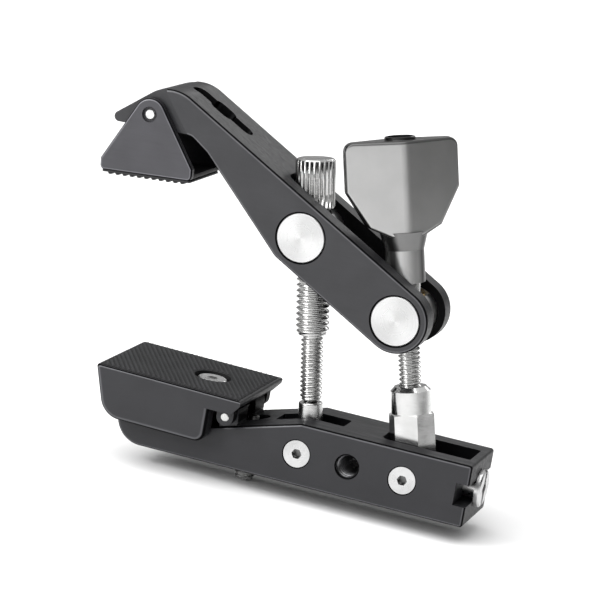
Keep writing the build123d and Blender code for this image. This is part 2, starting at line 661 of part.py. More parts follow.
# ===================== front adjusting screw =====================
with BuildPart() as mid_swivel:
    with BuildSketch(side_plane(MID_PIVOT)):
        Circle(COLLAR_EYE_R)
    extrude(amount=COLLAR_EYE_HALF, both=True)
    with BuildSketch(on_mid(0)):
        Circle(COLLAR_FOOT_R)
    with BuildSketch(on_mid(COLLAR_TOP)):
        Circle(COLLAR_R)
    loft()
    fillet(mid_swivel.faces().sort_by(Axis.Z)[-1].edges(), 0.5)
    with BuildSketch(side_plane(MID_PIVOT)):
        Circle(PIVOT_PIN_R + COLLAR_EYE_CLEARANCE)
    extrude(amount=2 * COLLAR_R, both=True, mode=Mode.SUBTRACT)
    with BuildSketch(on_mid(NECK_FOOT - 0.2)):
        Circle(NECK_R + RUNNING)
    extrude(amount=COLLAR_TOP, mode=Mode.SUBTRACT)
mid_swivel.part.label = "mid_swivel"

with BuildPart() as mid_screw:
    with BuildSketch(on_mid(NECK_FOOT)):
        Circle(NECK_R)
    extrude(amount=THIN_FOOT - NECK_FOOT)
    with BuildSketch(on_mid(THIN_FOOT)):
        Circle(QUARTER_R)
    extrude(amount=THIN_TOP - THIN_FOOT)
    with BuildSketch(on_mid(THIN_TOP)):
        Circle(QUARTER_R)
    with BuildSketch(on_mid(THICK_FOOT)):
        Circle(THREE_EIGHTHS_R)
    loft()
    with BuildSketch(on_mid(THICK_FOOT)):
        Circle(THREE_EIGHTHS_R)
    extrude(amount=KNOB_FOOT - THICK_FOOT)
    with BuildSketch(on_mid(KNOB_FOOT)):
        Circle(QUARTER_R)
    extrude(amount=KNOB_BORE)
mid_screw.part.label = "mid_screw"

with BuildPart() as mid_knob:
    with BuildSketch(on_mid(KNOB_FOOT)):
        Circle(KNOB_R)
        Circle(QUARTER_R, mode=Mode.SUBTRACT)
    extrude(amount=KNOB_BORE)
    with BuildSketch(on_mid(KNOB_FOOT + KNOB_BORE)):
        Circle(KNOB_R)
    extrude(amount=KNOB_TOP - KNOB_FOOT - KNOB_BORE)
    chamfer(mid_knob.faces().sort_by(Axis.Z)[-1].edges(), 0.4)
mid_knob.part.label = "mid_knob"

# ===================== rear rod =====================
HEX_CORNER_R = HEX_AF / 3**0.5
with BuildPart() as hex_coupling:
    with BuildSketch(on_rear(-HEX_CORNER_R)):
        RegularPolygon(radius=HEX_AF / 2, side_count=6, major_radius=False)
    extrude(amount=HEX_TOP + HEX_CORNER_R)
    # the corners are bevelled at the top by a cone
    with BuildSketch(side_plane(REAR_PIVOT, REAR_LEAN)) as bevel_profile:
        with BuildLine():
            Polyline(
                (0, -2 * HEX_CORNER_R),
                (HEX_CORNER_R, -2 * HEX_CORNER_R),
                (HEX_CORNER_R, HEX_TOP - HEX_BEVEL),
                (HEX_AF / 2 - 0.02, HEX_TOP),
                (0, HEX_TOP),
                close=True,
            )
        make_face()
    rod_line = Axis(place(*REAR_PIVOT), tuple(on_rear(0).z_dir))
    revolve(axis=rod_line, revolution_arc=360, mode=Mode.INTERSECT)
    with BuildSketch(on_rear(HEX_TOP)):
        Circle(HEX_AF / 2 - 0.02)
    extrude(amount=COUPLING_TOP - HEX_TOP)
    chamfer(hex_coupling.faces().sort_by(Axis.Z)[-1].edges(), 1.1)
    # the foot is rounded about the pivot so that it can swing above the slot's floor
    with BuildSketch(side_plane(REAR_PIVOT, REAR_LEAN)):
        Circle(HEX_CORNER_R - 0.2)
        Rectangle(2 * HEX_AF, 3 * HEX_AF, align=(Align.CENTER, Align.MIN))
    extrude(amount=HEX_AF, both=True, mode=Mode.INTERSECT)
    with BuildSketch(side_plane(REAR_PIVOT)):
        Circle(PIVOT_PIN_R + RUNNING)
    extrude(amount=HEX_AF, both=True, mode=Mode.SUBTRACT)
    with BuildSketch(on_rear(HEX_TOP - ROD_SOCKET)):
        Circle(QUARTER_R)
    extrude(amount=COUPLING_TOP, mode=Mode.SUBTRACT)
hex_coupling.part.label = "hex_coupling"

with BuildPart() as rear_rod:
    with BuildSketch(on_rear(HEX_TOP - ROD_SOCKET)):
        Circle(QUARTER_R)
    extrude(amount=ROD_TOP - HEX_TOP + ROD_SOCKET)
    chamfer(rear_rod.edges().filter_by(GeomType.CIRCLE), 0.5)
rear_rod.part.label = "rear_rod"


# ===================== wing nut =====================
def wing_plane(height):
    """Plane square to the rod whose X runs along the wings."""
    base = on_rear(height)
    along = base.x_dir * cos(radians(WING_TURN)) + base.y_dir * sin(radians(WING_TURN))
    return Plane(origin=base.origin, x_dir=along, z_dir=base.z_dir)


with BuildPart() as wing_knob:
    with BuildSketch(wing_plane(WING_FOOT)) as wing_plan:
        with BuildLine():
            Polyline(
                (-WING_HALF, -WING_TIP),
                (0, -WING_RIDGE),
                (WING_HALF, -WING_TIP),
                (WING_HALF, WING_TIP),
                (0, WING_RIDGE),
                (-WING_HALF, WING_TIP),
                close=True,
            )
        make_face()
        fillet(wing_plan.vertices().sort_by_distance((0, 0, 0))[0:2], 4.0)
    extrude(amount=WING_TOP - WING_FOOT)
    outline = wing_plane(0)
    outline_plane = Plane(origin=outline.origin, x_dir=outline.x_dir, z_dir=-outline.y_dir)
    with BuildSketch(outline_plane) as wing_outline:
        with BuildLine():
            Polyline(
                (-4.0, WING_FOOT),
                (4.0, WING_FOOT),
                (9.8, 67.2),
                (WING_HALF, 77.0),
                (WING_HALF, WING_TOP),
                (-WING_HALF, WING_TOP),
                (-WING_HALF, 77.0),
                (-9.8, 67.2),
                close=True,
            )
        make_face()
        fillet(wing_outline.vertices().group_by(Axis.Y)[-1], 2.6)
    extrude(amount=2 * WING_RIDGE, both=True, mode=Mode.INTERSECT)
    fillet(wing_knob.edges(), WING_EDGE)
    with BuildSketch(on_rear(STEM_FOOT)):
        Circle(STEM_R)
    extrude(amount=WING_FOOT + 3 - STEM_FOOT)
    with BuildSketch(on_rear(WING_FOOT - 3.5)):
        Circle(STEM_R)
    with BuildSketch(on_rear(WING_FOOT + 1.5)):
        Circle(STEM_R + STEM_FLARE)
    loft()
    with BuildSketch(on_rear(WING_TOP - 1)):
        Circle(WING_RIM_R)
    extrude(amount=WING_RIM + 1)
    fillet(wing_knob.faces().sort_by(rod_line)[-1].edges(), 0.5)
    with BuildSketch(on_rear(STEM_FOOT)):
        Circle(NUT_NECK_R + 0.3)
    extrude(amount=WING_FOOT - STEM_FOOT, mode=Mode.SUBTRACT)
    with BuildSketch(on_rear(STEM_FOOT)):
        Circle(WING_HOLE_R)
    extrude(amount=WING_TOP, mode=Mode.SUBTRACT)
wing_knob.part.label = "wing_knob"

with BuildPart() as wing_insert:
    with BuildSketch(on_rear(NUT_NECK_FOOT)):
        Circle(NUT_NECK_R)
    extrude(amount=STEM_FOOT - NUT_NECK_FOOT)
    with BuildSketch(on_rear(STEM_FOOT)):
        Circle(NUT_NECK_R + 0.3)
    extrude(amount=WING_FOOT - STEM_FOOT)
    with BuildSketch(on_rear(CLIP_FOOT)):
        Circle(NUT_NECK_R + 1)
        Circle(NUT_NECK_R - 0.4, mode=Mode.SUBTRACT)
    extrude(amount=CLIP_THICK, mode=Mode.SUBTRACT)
    with BuildSketch(on_rear(0)):
        Circle(QUARTER_R + RUNNING)
    extrude(amount=WING_TOP, mode=Mode.SUBTRACT)
wing_insert.part.label = "wing_insert"

# snap ring in the neck's groove, under the barrel; open over a quarter turn
with BuildPart() as wing_clip:
    with BuildSketch(on_rear(CLIP_FOOT)):
        Circle(BUSH_R)
        Circle(NUT_NECK_R - 0.38, mode=Mode.SUBTRACT)
        with Locations((0, BUSH_R)):
            Rectangle(3.0, 2 * BUSH_R, mode=Mode.SUBTRACT)
    extrude(amount=CLIP_THICK)
wing_clip.part.label = "wing_clip"

PARTS = [
    lower_arm, mid_pivot_pin, rear_pivot_pin, pivot_screws, end_screw, pad_set_screw,
    lower_pad, lower_pad_rubber, lower_pad_screw, pad_hinge_pin,
    upper_arm, upper_pad_pin, upper_pad, upper_pad_rubber,
    mid_barrel, rear_barrel, rear_barrel_bush,
    mid_swivel, mid_screw, mid_knob,
    hex_coupling, rear_rod, wing_knob, wing_insert, wing_clip,
]

os.makedirs("parts", exist_ok=True)
for piece in PARTS:
    export_step(piece.part, f"parts/{piece.part.label}.step")
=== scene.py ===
from collections import namedtuple
from math import atan2, cos, floor, hypot, pi, radians, sin, tau

import bpy
from mathutils import Matrix, Vector


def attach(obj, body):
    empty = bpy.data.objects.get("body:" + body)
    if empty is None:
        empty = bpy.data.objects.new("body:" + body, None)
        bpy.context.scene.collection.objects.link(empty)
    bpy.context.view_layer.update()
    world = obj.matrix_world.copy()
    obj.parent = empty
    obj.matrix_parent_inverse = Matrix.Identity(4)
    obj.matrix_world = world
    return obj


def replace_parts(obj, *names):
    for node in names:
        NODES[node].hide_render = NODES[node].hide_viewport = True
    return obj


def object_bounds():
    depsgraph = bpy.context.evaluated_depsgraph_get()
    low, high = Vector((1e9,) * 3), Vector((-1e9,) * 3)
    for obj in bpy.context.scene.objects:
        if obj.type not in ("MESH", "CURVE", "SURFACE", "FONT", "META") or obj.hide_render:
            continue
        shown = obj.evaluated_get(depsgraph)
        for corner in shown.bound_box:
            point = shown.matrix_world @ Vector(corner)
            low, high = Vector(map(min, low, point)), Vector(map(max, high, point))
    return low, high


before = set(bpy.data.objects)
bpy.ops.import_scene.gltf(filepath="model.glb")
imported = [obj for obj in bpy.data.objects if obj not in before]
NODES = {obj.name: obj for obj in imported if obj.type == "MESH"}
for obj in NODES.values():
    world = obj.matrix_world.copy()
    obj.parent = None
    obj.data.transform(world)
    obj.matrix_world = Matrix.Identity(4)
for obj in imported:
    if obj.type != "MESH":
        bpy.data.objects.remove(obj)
CAD_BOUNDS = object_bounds()
MM = 0.001

# ---- the two leaning screws and the lower jaw, as (x, z) in millimetres ----
MID_PIVOT, MID_BARREL = (-14.55, 0.0), (-23.35, 58.4)
REAR_PIVOT, REAR_BARREL = (15.6, 0.0), (6.15, 42.1)
PAD_HINGE = (-35.15, 6.2)
PAD_TILT = radians(-1.1)


def screw_frame(foot, head):
    """Local Z runs up the screw from its pivot, local Y is the row's Y.  Millimetres."""
    lean = atan2(foot[0] - head[0], head[1] - foot[1])
    return Matrix((
        (cos(lean), 0, -sin(lean), foot[0]),
        (0, 1, 0, 0),
        (sin(lean), 0, cos(lean), foot[1]),
        (0, 0, 0, 1),
    ))


MID = screw_frame(MID_PIVOT, MID_BARREL)
REAR = screw_frame(REAR_PIVOT, REAR_BARREL)
# local X along the lower jaw, local Z square to its face
PAD = Matrix((
    (cos(PAD_TILT), 0, -sin(PAD_TILT), PAD_HINGE[0]),
    (0, 1, 0, 0),
    (sin(PAD_TILT), 0, cos(PAD_TILT), PAD_HINGE[1]),
    (0, 0, 0, 1),
))


# ===================== materials =====================
RAMP_TOP = 4.0


class Shader:
    """A Principled material with small helpers for its node tree."""

    def __init__(self, name, metallic=0.0, specular=0.5):
        self.mat = bpy.data.materials.new(name)
        self.mat.use_nodes = True
        self.tree = self.mat.node_tree
        self.out = self.tree.nodes["Principled BSDF"]
        self.out.inputs["Metallic"].default_value = metallic
        self.out.inputs["Specular IOR Level"].default_value = specular
        self.coord = self.tree.nodes.new("ShaderNodeTexCoord").outputs["Object"]
        self.height = None

    def node(self, kind, **inputs):
        made = self.tree.nodes.new(kind)
        for key, value in inputs.items():
            socket = made.inputs[key.replace("_", " ")]
            if isinstance(value, bpy.types.NodeSocket):
                self.tree.links.new(value, socket)
            else:
                socket.default_value = value
        return made

    def mapped(self, scale=(1, 1, 1), rotation=(0, 0, 0), location=(0, 0, 0)):
        return self.node(
            "ShaderNodeMapping", Vector=self.coord, Scale=scale, Rotation=rotation, Location=location
        ).outputs["Vector"]

    def noise(self, scale, detail=4.0, vector=None, distortion=0.0):
        made = self.node(
            "ShaderNodeTexNoise", Vector=vector or self.coord, Scale=scale, Detail=detail,
            Distortion=distortion,
        )
        return made.outputs["Fac"]

    def remap(self, value, low, high, to_low, to_high):
        made = self.tree.nodes.new("ShaderNodeMapRange")
        self.tree.links.new(value, made.inputs[0])
        for index, number in enumerate((low, high, to_low, to_high), 1):
            made.inputs[index].default_value = number
        return made.outputs[0]

    def maths(self, operation, a, b=0.0):
        made = self.tree.nodes.new("ShaderNodeMath")
        made.operation = operation
        for index, value in enumerate((a, b)):
            if isinstance(value, bpy.types.NodeSocket):
                self.tree.links.new(value, made.inputs[index])
            else:
                made.inputs[index].default_value = value
        return made.outputs[0]

    def vector_maths(self, operation, vector, other=None):
        """The node of a vector operation, whose second vector, if any, is fixed."""
        made = self.tree.nodes.new("ShaderNodeVectorMath")
        made.operation = operation
        self.tree.links.new(vector, made.inputs[0])
        if other is not None:
            made.inputs[1].default_value = other
        return made

    def tint(self, factor, dark, light):
        """Base colour runs between two tones by a factor."""
        mix = self.tree.nodes.new("ShaderNodeMix")
        mix.data_type = "RGBA"
        self.tree.links.new(factor, mix.inputs["Factor"])
        mix.inputs[6].default_value = (*dark, 1)
        mix.inputs[7].default_value = (*light, 1)
        self.tone = mix.outputs[2]
        self.tree.links.new(self.tone, self.out.inputs["Base Color"])

    def darken(self, factor):
        """Scale the base colour by a factor that varies over the piece."""
        made = self.vector_maths("SCALE", self.tone)
        self.tree.links.new(factor, made.inputs["Scale"])
        self.tone = made.outputs[0]
        self.tree.links.new(self.tone, self.out.inputs["Base Color"])

    def shadow(self, mask, left):
        """Keep a share of the base colour where a mask is 1; returns the factor used."""
        factor = self.remap(mask, 0, 1, 1, left)
        self.darken(factor)
        return factor

    def turned_towards(self, direction):
        """How far the surface's own normal points either way along a direction, 0 to 1."""
        normal = self.tree.nodes.new("ShaderNodeTexCoord").outputs["Normal"]
        return self.maths("ABSOLUTE", self.vector_maths("DOT_PRODUCT", normal, direction).outputs["Value"])

    def ramp(self, factor, stops):
        """A value that follows (place, value) stops along a factor; values up to RAMP_TOP."""
        made = self.tree.nodes.new("ShaderNodeValToRGB")
        self.tree.links.new(factor, made.inputs["Fac"])
        points = made.color_ramp.elements
        while len(points) < len(stops):
            points.new(0.5)
        for point, (place, _) in zip(points, stops):
            point.position = place
        for point, (_, value) in zip(points, stops):
            point.color = (value / RAMP_TOP,) * 3 + (1,)
        return self.maths("MULTIPLY", made.outputs["Color"], RAMP_TOP)

    def within(self, axis, half):
        """1 closer to the plane of symmetry than a half width along an axis, 0 outside."""
        split = self.node("ShaderNodeSeparateXYZ", Vector=self.coord)
        return self.maths("LESS_THAN", self.maths("ABSOLUTE", split.outputs[axis]), half)

    def rough(self, factor, low, high):
        self.tree.links.new(self.remap(factor, 0.3, 0.7, low, high), self.out.inputs["Roughness"])

    def bump(self, height, distance, strength=1.0):
        made = self.node("ShaderNodeBump", Height=height, Distance=distance, Strength=strength)
        if self.height is not None:
            self.tree.links.new(self.height, made.inputs["Normal"])
        self.height = made.outputs["Normal"]
        self.tree.links.new(self.height, self.out.inputs["Normal"])


def shade(color, factor):
    return tuple(min(1.0, channel * factor) for channel in color)


# painted light and shade over the enamel's edges, as stops (how far the normal points along Y, value): tops
# and ends darker, a painted shade band on the rest of an edge and in countersinks, a painted highlight line
# beside the flat sides
EDGE_LIGHT_AND_SHADE = ((0.0, 0.62), (0.22, 0.56), (0.34, 0.12), (0.78, 0.12), (0.86, 2.6), (0.95, 2.6), (0.995, 1.0))
EDGE_GLOSS = ((0.0, 0.18), (0.2, 0.18), (0.34, 0.02), (0.76, 0.02), (0.86, 0.6), (0.95, 0.6), (1.0, 0.35))

# a box of painted shade with (low, high) limits in mm; flanks says if the faces square to Y darken in it
# too
ShadeBox = namedtuple("ShadeBox", "limits flanks")
FLANK_TURN = 0.9
WALL_TURN = 0.5
SLOT_HALF = 0.0061
PAINTED_SHADE_TONE = 0.15


def shade_box_mask(made, shade_box, sideways):
    """1 on the surfaces that lie in a box of painted shade, 0 elsewhere."""
    split = made.node("ShaderNodeSeparateXYZ", Vector=made.coord)
    mask = 1.0 if shade_box.flanks else made.maths("LESS_THAN", sideways, FLANK_TURN)
    for axis, (low, high) in shade_box.limits.items():
        over = made.maths("GREATER_THAN", split.outputs[axis], low * MM)
        under = made.maths("LESS_THAN", split.outputs[axis], high * MM)
        mask = made.maths("MULTIPLY", mask, made.maths("MULTIPLY", over, under))
    return mask


def enamel(name, color, roughness, shade_boxes=()):
    """Powder-coated metal: a fine pebble, cloudy tone and faint rub marks, with a painted highlight and
    painted shade on its edges and painted shade in its slot and its shade boxes.
    """
    made = Shader(name)
    clouds = made.noise(95, 5)
    pebble = made.noise(3200, 2)
    rubs = made.noise(260, 6, made.mapped(scale=(0.25, 3.0, 3.0)), 1.5)
    tone = made.maths("ADD", made.maths("MULTIPLY", clouds, 0.65), made.maths("MULTIPLY", rubs, 0.35))
    made.tint(made.remap(tone, 0.32, 0.68, 0, 1), shade(color, 0.86), shade(color, 1.16))
    made.rough(rubs, roughness - 0.07, roughness + 0.09)
    made.bump(pebble, 0.00003, 0.5)
    made.bump(clouds, 0.00012, 0.10)
    # painted light by the surface's turn: a painted highlight line beside the flat sides, painted shade on
    # the rest of an edge, in countersinks and a little on tops and ends
    sideways = made.turned_towards((0, 1, 0))
    made.darken(made.ramp(sideways, EDGE_LIGHT_AND_SHADE))
    gloss = made.ramp(sideways, EDGE_GLOSS)
    # painted shade on walls square to Y near the middle plane, as in the fork's slot; painted shade also
    # lowers the gloss
    slot_shade = made.maths(
        "MULTIPLY", made.within("Y", SLOT_HALF), made.maths("GREATER_THAN", sideways, WALL_TURN)
    )
    for mask in [slot_shade] + [shade_box_mask(made, shade_box, sideways) for shade_box in shade_boxes]:
        gloss = made.maths("MULTIPLY", gloss, made.shadow(mask, PAINTED_SHADE_TONE))
    made.tree.links.new(gloss, made.out.inputs["Specular IOR Level"])
    return made.mat


# shares of the base colour kept under painted shade: in a socket, on a pin's middle, past a bore's start,
# and on surfaces turned towards a direction
SOCKET_R = 0.0013
SOCKET_SHADE_TONE, MIDDLE_SHADE_TONE, BORE_SHADE_TONE, END_SHADE_TONE = 0.22, 0.10, 0.12, 0.16
END_RUN = 0.25


def turned(
    name, color, roughness=0.26, lean=0.0, across=(1, 1, 1), depth=0.000006, metallic=1.0,
    stain_depth=0.16, spread=0.09, shaded_middle=0.0, shaded_sockets=(), shade_beyond=(), shaded_ends=(),
):
    """Turned or ground steel: tool marks square to the piece's own axis, with light staining.

    Painted shade: shaded_middle, a half width along Y; shaded_sockets, round holes at (x, z);
    shade_beyond, a direction and the distance along it where a bore starts; shaded_ends, a direction
    and how far a surface turns towards it before it darkens.
    """
    made = Shader(name, metallic=metallic)
    marks = made.noise(900, 3, made.mapped(scale=across, rotation=(0, lean, 0)))
    stain = made.noise(170, 5)
    made.tint(
        made.remap(stain, 0.35, 0.7, 0, 1), shade(color, 1 - stain_depth), shade(color, 1 + stain_depth / 2)
    )
    share = 2.5 * stain_depth
    mixed = made.maths(
        "ADD", made.maths("MULTIPLY", marks, 1 - share), made.maths("MULTIPLY", stain, share)
    )
    made.rough(mixed, roughness - spread, roughness + spread)
    made.bump(marks, depth, 0.6)
    # painted shade along the middle of a pin
    if shaded_middle:
        made.shadow(made.within("Y", shaded_middle), MIDDLE_SHADE_TONE)
    # painted shade past the start of a bore
    for direction, height in shade_beyond:
        along = made.vector_maths("DOT_PRODUCT", made.coord, direction).outputs["Value"]
        made.shadow(made.maths("GREATER_THAN", along, height), BORE_SHADE_TONE)
    # painted shade in the hex socket of a screw
    for x, z in shaded_sockets:
        flat = made.mapped(scale=(1, 0, 1), location=(-x * MM, 0, -z * MM))
        radius = made.vector_maths("LENGTH", flat).outputs["Value"]
        made.shadow(made.maths("LESS_THAN", radius, SOCKET_R), SOCKET_SHADE_TONE)
    # painted shade on surfaces turned towards a direction
    for direction, start in shaded_ends:
        stops = ((0, 1), (start, 1), (start + END_RUN, END_SHADE_TONE), (1, END_SHADE_TONE))
        made.darken(made.ramp(made.turned_towards(direction), stops))
    return made.mat


def faced(name, color, centre, roughness=0.3):
    """A faced disc: fine rings about an axis parallel to Y, through a centre (x, z)."""
    made = Shader(name, metallic=1.0)
    flat = made.mapped(scale=(1, 0, 1), location=(-centre[0] * MM, 0, -centre[1] * MM))
    rings = made.tree.nodes.new("ShaderNodeTexNoise")
    rings.noise_dimensions = "1D"
    made.tree.links.new(made.vector_maths("LENGTH", flat).outputs["Value"], rings.inputs["W"])
    rings.inputs["Scale"].default_value = 4200
    rings.inputs["Detail"].default_value = 3
    # painted highlight: two brighter bow ties across the face, standing in for the spun finish's reflection
    split = made.node("ShaderNodeSeparateXYZ", Vector=flat)
    angle = made.maths("ARCTAN2", split.outputs["Z"], split.outputs["X"])
    painted_sheen = made.maths("COSINE", made.maths("MULTIPLY", made.maths("ADD", angle, 0.5), 2.0))
    clouds = made.noise(140, 5)
    tone = made.maths("ADD", made.maths("MULTIPLY", painted_sheen, 0.35), clouds)
    made.tint(made.remap(tone, 0.2, 0.85, 0, 1), shade(color, 0.86), shade(color, 1.05))
    made.rough(rings.outputs["Fac"], roughness - 0.06, roughness + 0.1)
    made.bump(rings.outputs["Fac"], 0.000012, 0.5)
    return made.mat


def rubbery(name, color, roughness=0.72):
    """Matt rubber: a fine grain under a light dusting."""
    made = Shader(name, specular=0.35)
    grain = made.noise(2600, 4)
    dust = made.noise(150, 6)
    made.tint(made.remap(dust, 0.35, 0.75, 0, 1), shade(color, 0.8), shade(color, 1.7))
    made.rough(dust, roughness - 0.08, roughness + 0.1)
    made.bump(grain, 0.00005, 0.6)
    return made.mat


ROD_LEAN = radians(-12.65)
ROD_LINE = (sin(ROD_LEAN), 0.0, cos(ROD_LEAN))
WING_LINE = (0.845, 0.5, 0.19)
WING_TOP = 0.0870
SET_BORE_Z = -0.004
JAW_PIN = (-70.9, 82.3)
# boxes of painted shade: the lower arm's knuckle under the jaw, the lower jaw's channel and hinge end, and
# the inside of the upper jaw
KNUCKLE = ShadeBox({"X": (-40, -30.8), "Y": (-11, 11), "Z": (4.3, 12)}, flanks=False)
CHANNEL = ShadeBox({"Y": (-12.5, 12.5), "Z": (-20, 9.0)}, flanks=True)
HINGE_END = ShadeBox({"X": (-34.5, -28), "Z": (-5, 10.2)}, flanks=False)
JAW_INSIDE = ShadeBox({"Y": (-10, 10), "Z": (0, 100)}, flanks=True)

DARK = enamel("dark_enamel", (0.018, 0.018, 0.0205), 0.42, [KNUCKLE])
PAD_DARK = enamel("jaw_dark_enamel", (0.019, 0.019, 0.0215), 0.42, [CHANNEL, HINGE_END])
GREY = enamel("grey_enamel", (0.027, 0.027, 0.0295), 0.40)
JAW_GREY = enamel("jaw_enamel", (0.046, 0.0455, 0.051), 0.40, [JAW_INSIDE])
# painted shade on the knob's top and on faces turned towards the rod's axis or along the wing
SILVER = turned(
    "silver_finish", (0.46, 0.46, 0.457), 0.31, lean=ROD_LEAN, across=(0.3, 0.3, 6), depth=0.0000016,
    metallic=0.85, stain_depth=0.05, spread=0.02, shade_beyond=[(ROD_LINE, WING_TOP)],
    shaded_ends=[(ROD_LINE, 0.08), (WING_LINE, 0.45)],
)
STEEL = turned("turned_steel", (0.56, 0.56, 0.555), 0.22, across=(0.2, 0.2, 6), depth=0.0000012)
# painted shade on the set screw inside its bore
SET_STEEL = turned(
    "set_screw_steel", (0.5, 0.5, 0.495), 0.3, depth=0.0000012, shade_beyond=[((0, 0, 1), SET_BORE_Z)]
)
HEX_STEEL = turned(
    "hexagon_steel", (0.66, 0.66, 0.655), 0.18, lean=ROD_LEAN, across=(0.3, 0.3, 5), depth=0.000003
)
# painted shade along the pins' middle
PIN_STEEL = turned("pin_steel", (0.60, 0.60, 0.59), 0.30, across=(1, 5, 1), shaded_middle=0.0135)
SCREW_STEEL = turned("socket_screw_steel", (0.60, 0.60, 0.60), 0.30, shaded_sockets=[MID_PIVOT, REAR_PIVOT])
THREAD_STEEL = turned("tapped_thread", (0.16, 0.16, 0.165), 0.30, across=(0.2, 6, 0.2))
BRASS = turned("brass", (0.60, 0.42, 0.17), 0.28, across=(0.3, 0.3, 5))
DISC_MID = faced("faced_disc_mid", (0.60, 0.60, 0.60), MID_BARREL)
DISC_REAR = faced("faced_disc_rear", (0.60, 0.60, 0.60), REAR_BARREL)
DISC_PIN = faced("faced_pin_end", (0.66, 0.66, 0.66), JAW_PIN)
# the rubber between the ribs is a darker copy of the rib rubber: painted shade between the ribs
SHADED_GAP_RUBBER = rubbery("rubber", (0.004, 0.004, 0.0045))
RIB_RUBBER = rubbery("rib_rubber", (0.017, 0.017, 0.0185))
RIDGED = rubbery("ridged_rubber", (0.018, 0.018, 0.019))


def paint(obj, mat):
    obj.data.materials.clear()
    obj.data.materials.append(mat)


CAD_FINISH = {
    "lower_arm": (DARK, "dark_enamel"),
    "mid_pivot_pin": (PIN_STEEL, "steel"),
    "rear_pivot_pin": (PIN_STEEL, "steel"),
    "pivot_screws": (SCREW_STEEL, "steel"),
    "pad_hinge_pin": (PIN_STEEL, "steel"),
    "lower_pad": (PAD_DARK, "dark_enamel"),
    "lower_pad_rubber": (SHADED_GAP_RUBBER, "rubber"),
    "lower_pad_screw": (SCREW_STEEL, "steel"),
    "hex_coupling": (HEX_STEEL, "steel"),
    "rear_barrel": (DISC_REAR, "bright_steel"),
    "rear_barrel_bush": (BRASS, "brass"),
    "wing_knob": (SILVER, "silver_enamel"),
    "wing_insert": (STEEL, "steel"),
    "wing_clip": (STEEL, "bright_steel"),
    "upper_arm": (GREY, "grey_enamel"),
    "upper_pad_pin": (DISC_PIN, "bright_steel"),
    "upper_pad": (JAW_GREY, "grey_enamel"),
    "upper_pad_rubber": (RIDGED, "rubber"),
    "mid_barrel": (DISC_MID, "bright_steel"),
    "mid_swivel": (STEEL, "steel"),
    "end_screw": (SCREW_STEEL, "steel"),
}
for node, (mat, slot) in CAD_FINISH.items():
    NODES[node].data.materials.clear()
    NODES[node].data.materials.append(mat)


# ===================== turned and threaded pieces =====================
def make_mesh(name, points, faces, frame_mm, body, mat, slot, smooth=True):
    """A mesh from millimetre points in a local frame, riding a body."""
    mesh = bpy.data.meshes.new(name)
    mesh.from_pydata([tuple(c * MM for c in p) for p in points], [], faces)
    mesh.update()
    if smooth:
        for polygon in mesh.polygons:
            polygon.use_smooth = True
    obj = bpy.data.objects.new(name, mesh)
    bpy.context.collection.objects.link(obj)
    place = frame_mm.copy()
    place.translation = place.translation * MM
    obj.matrix_world = place
    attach(obj, body)
    paint(obj, mat)
    return obj


THREAD_FLAT = 0.14
PER_TURN = 10
RUN_OUT = 0.6
SOCKET_TIP = 0.3


def ridge(turns):
    """Height, 0 to 1, of a V thread at a number of turns along it, with small flats."""
    part = turns - floor(turns)
    height = 1 - abs(2 * part - 1)
    return min(1.0, max(0.0, (height - THREAD_FLAT) / (1 - 2 * THREAD_FLAT)))


def plain(*profile):
    """Rows (z, radius, pitch, depth) of a plain turned outline from its (z, radius) points."""
    return [(z, radius, 1.0, 0.0) for z, radius in profile]


def threaded(low, high, thread):
    """Rows (z, crest radius, pitch, depth) of a threaded stretch, its ends running out."""
    crest, pitch, depth = thread
    count = max(2, round((high - low) / pitch * PER_TURN))
    rows = []
    for i in range(count + 1):
        z = low + (high - low) * i / count
        run = min(1.0, (z - low) / (RUN_OUT * pitch), (high - z) / (RUN_OUT * pitch))
        rows.append((z, crest - (1 - run) * depth * 0.9, pitch, depth * run))
    return rows


def turned_piece(rows, segments, socket=None, wave=None):
    """Points and faces of a solid turned about Z.

    socket is the (radius, depth) of a hexagon in its low end; wave(angle, z) is cut from the radius.
    """
    points, faces = [], []
    for z, crest, pitch, depth in rows:
        for i in range(segments):
            angle = tau * i / segments
            radius = crest - depth * (1 - ridge(z / pitch - angle / tau))
            if wave:
                radius -= wave(angle, z)
            points.append((radius * cos(angle), radius * sin(angle), z))
    for r in range(len(rows) - 1):
        for i in range(segments):
            j = (i + 1) % segments
            low, high = r * segments, (r + 1) * segments
            faces.append((low + i, low + j, high + j, high + i))
    top = (len(rows) - 1) * segments
    points.append((0, 0, rows[-1][0]))
    hub = len(points) - 1
    faces += [(top + i, top + (i + 1) % segments, hub) for i in range(segments)]
    if socket is None:
        points.append((0, 0, rows[0][0]))
        hub = len(points) - 1
        faces += [((i + 1) % segments, i, hub) for i in range(segments)]
        return points, faces
    radius, deep = socket
    for z in (rows[0][0], rows[0][0] + deep):
        start = len(points)
        for i in range(segments):
            angle = tau * i / segments
            wedge = (angle % (pi / 3)) - pi / 6
            reach = radius / cos(wedge)
            points.append((reach * cos(angle), reach * sin(angle), z))
        before = 0 if z == rows[0][0] else start - segments
        faces += [
            ((before + (i + 1) % segments), before + i, start + i, start + (i + 1) % segments)
            for i in range(segments)
        ]
    points.append((0, 0, rows[0][0] + deep + SOCKET_TIP))
    hub = len(points) - 1
    faces += [(start + (i + 1) % segments, start + i, hub) for i in range(segments)]
    return points, faces


# threads as (crest radius, pitch, depth): 1/4"-20, 3/8"-16 and M6
QUARTER = (3.1, 1.27, 0.62)
COARSE = (4.62, 1.5875, 0.80)
SIX = (2.93, 1.0, 0.5)
ROUND = 72

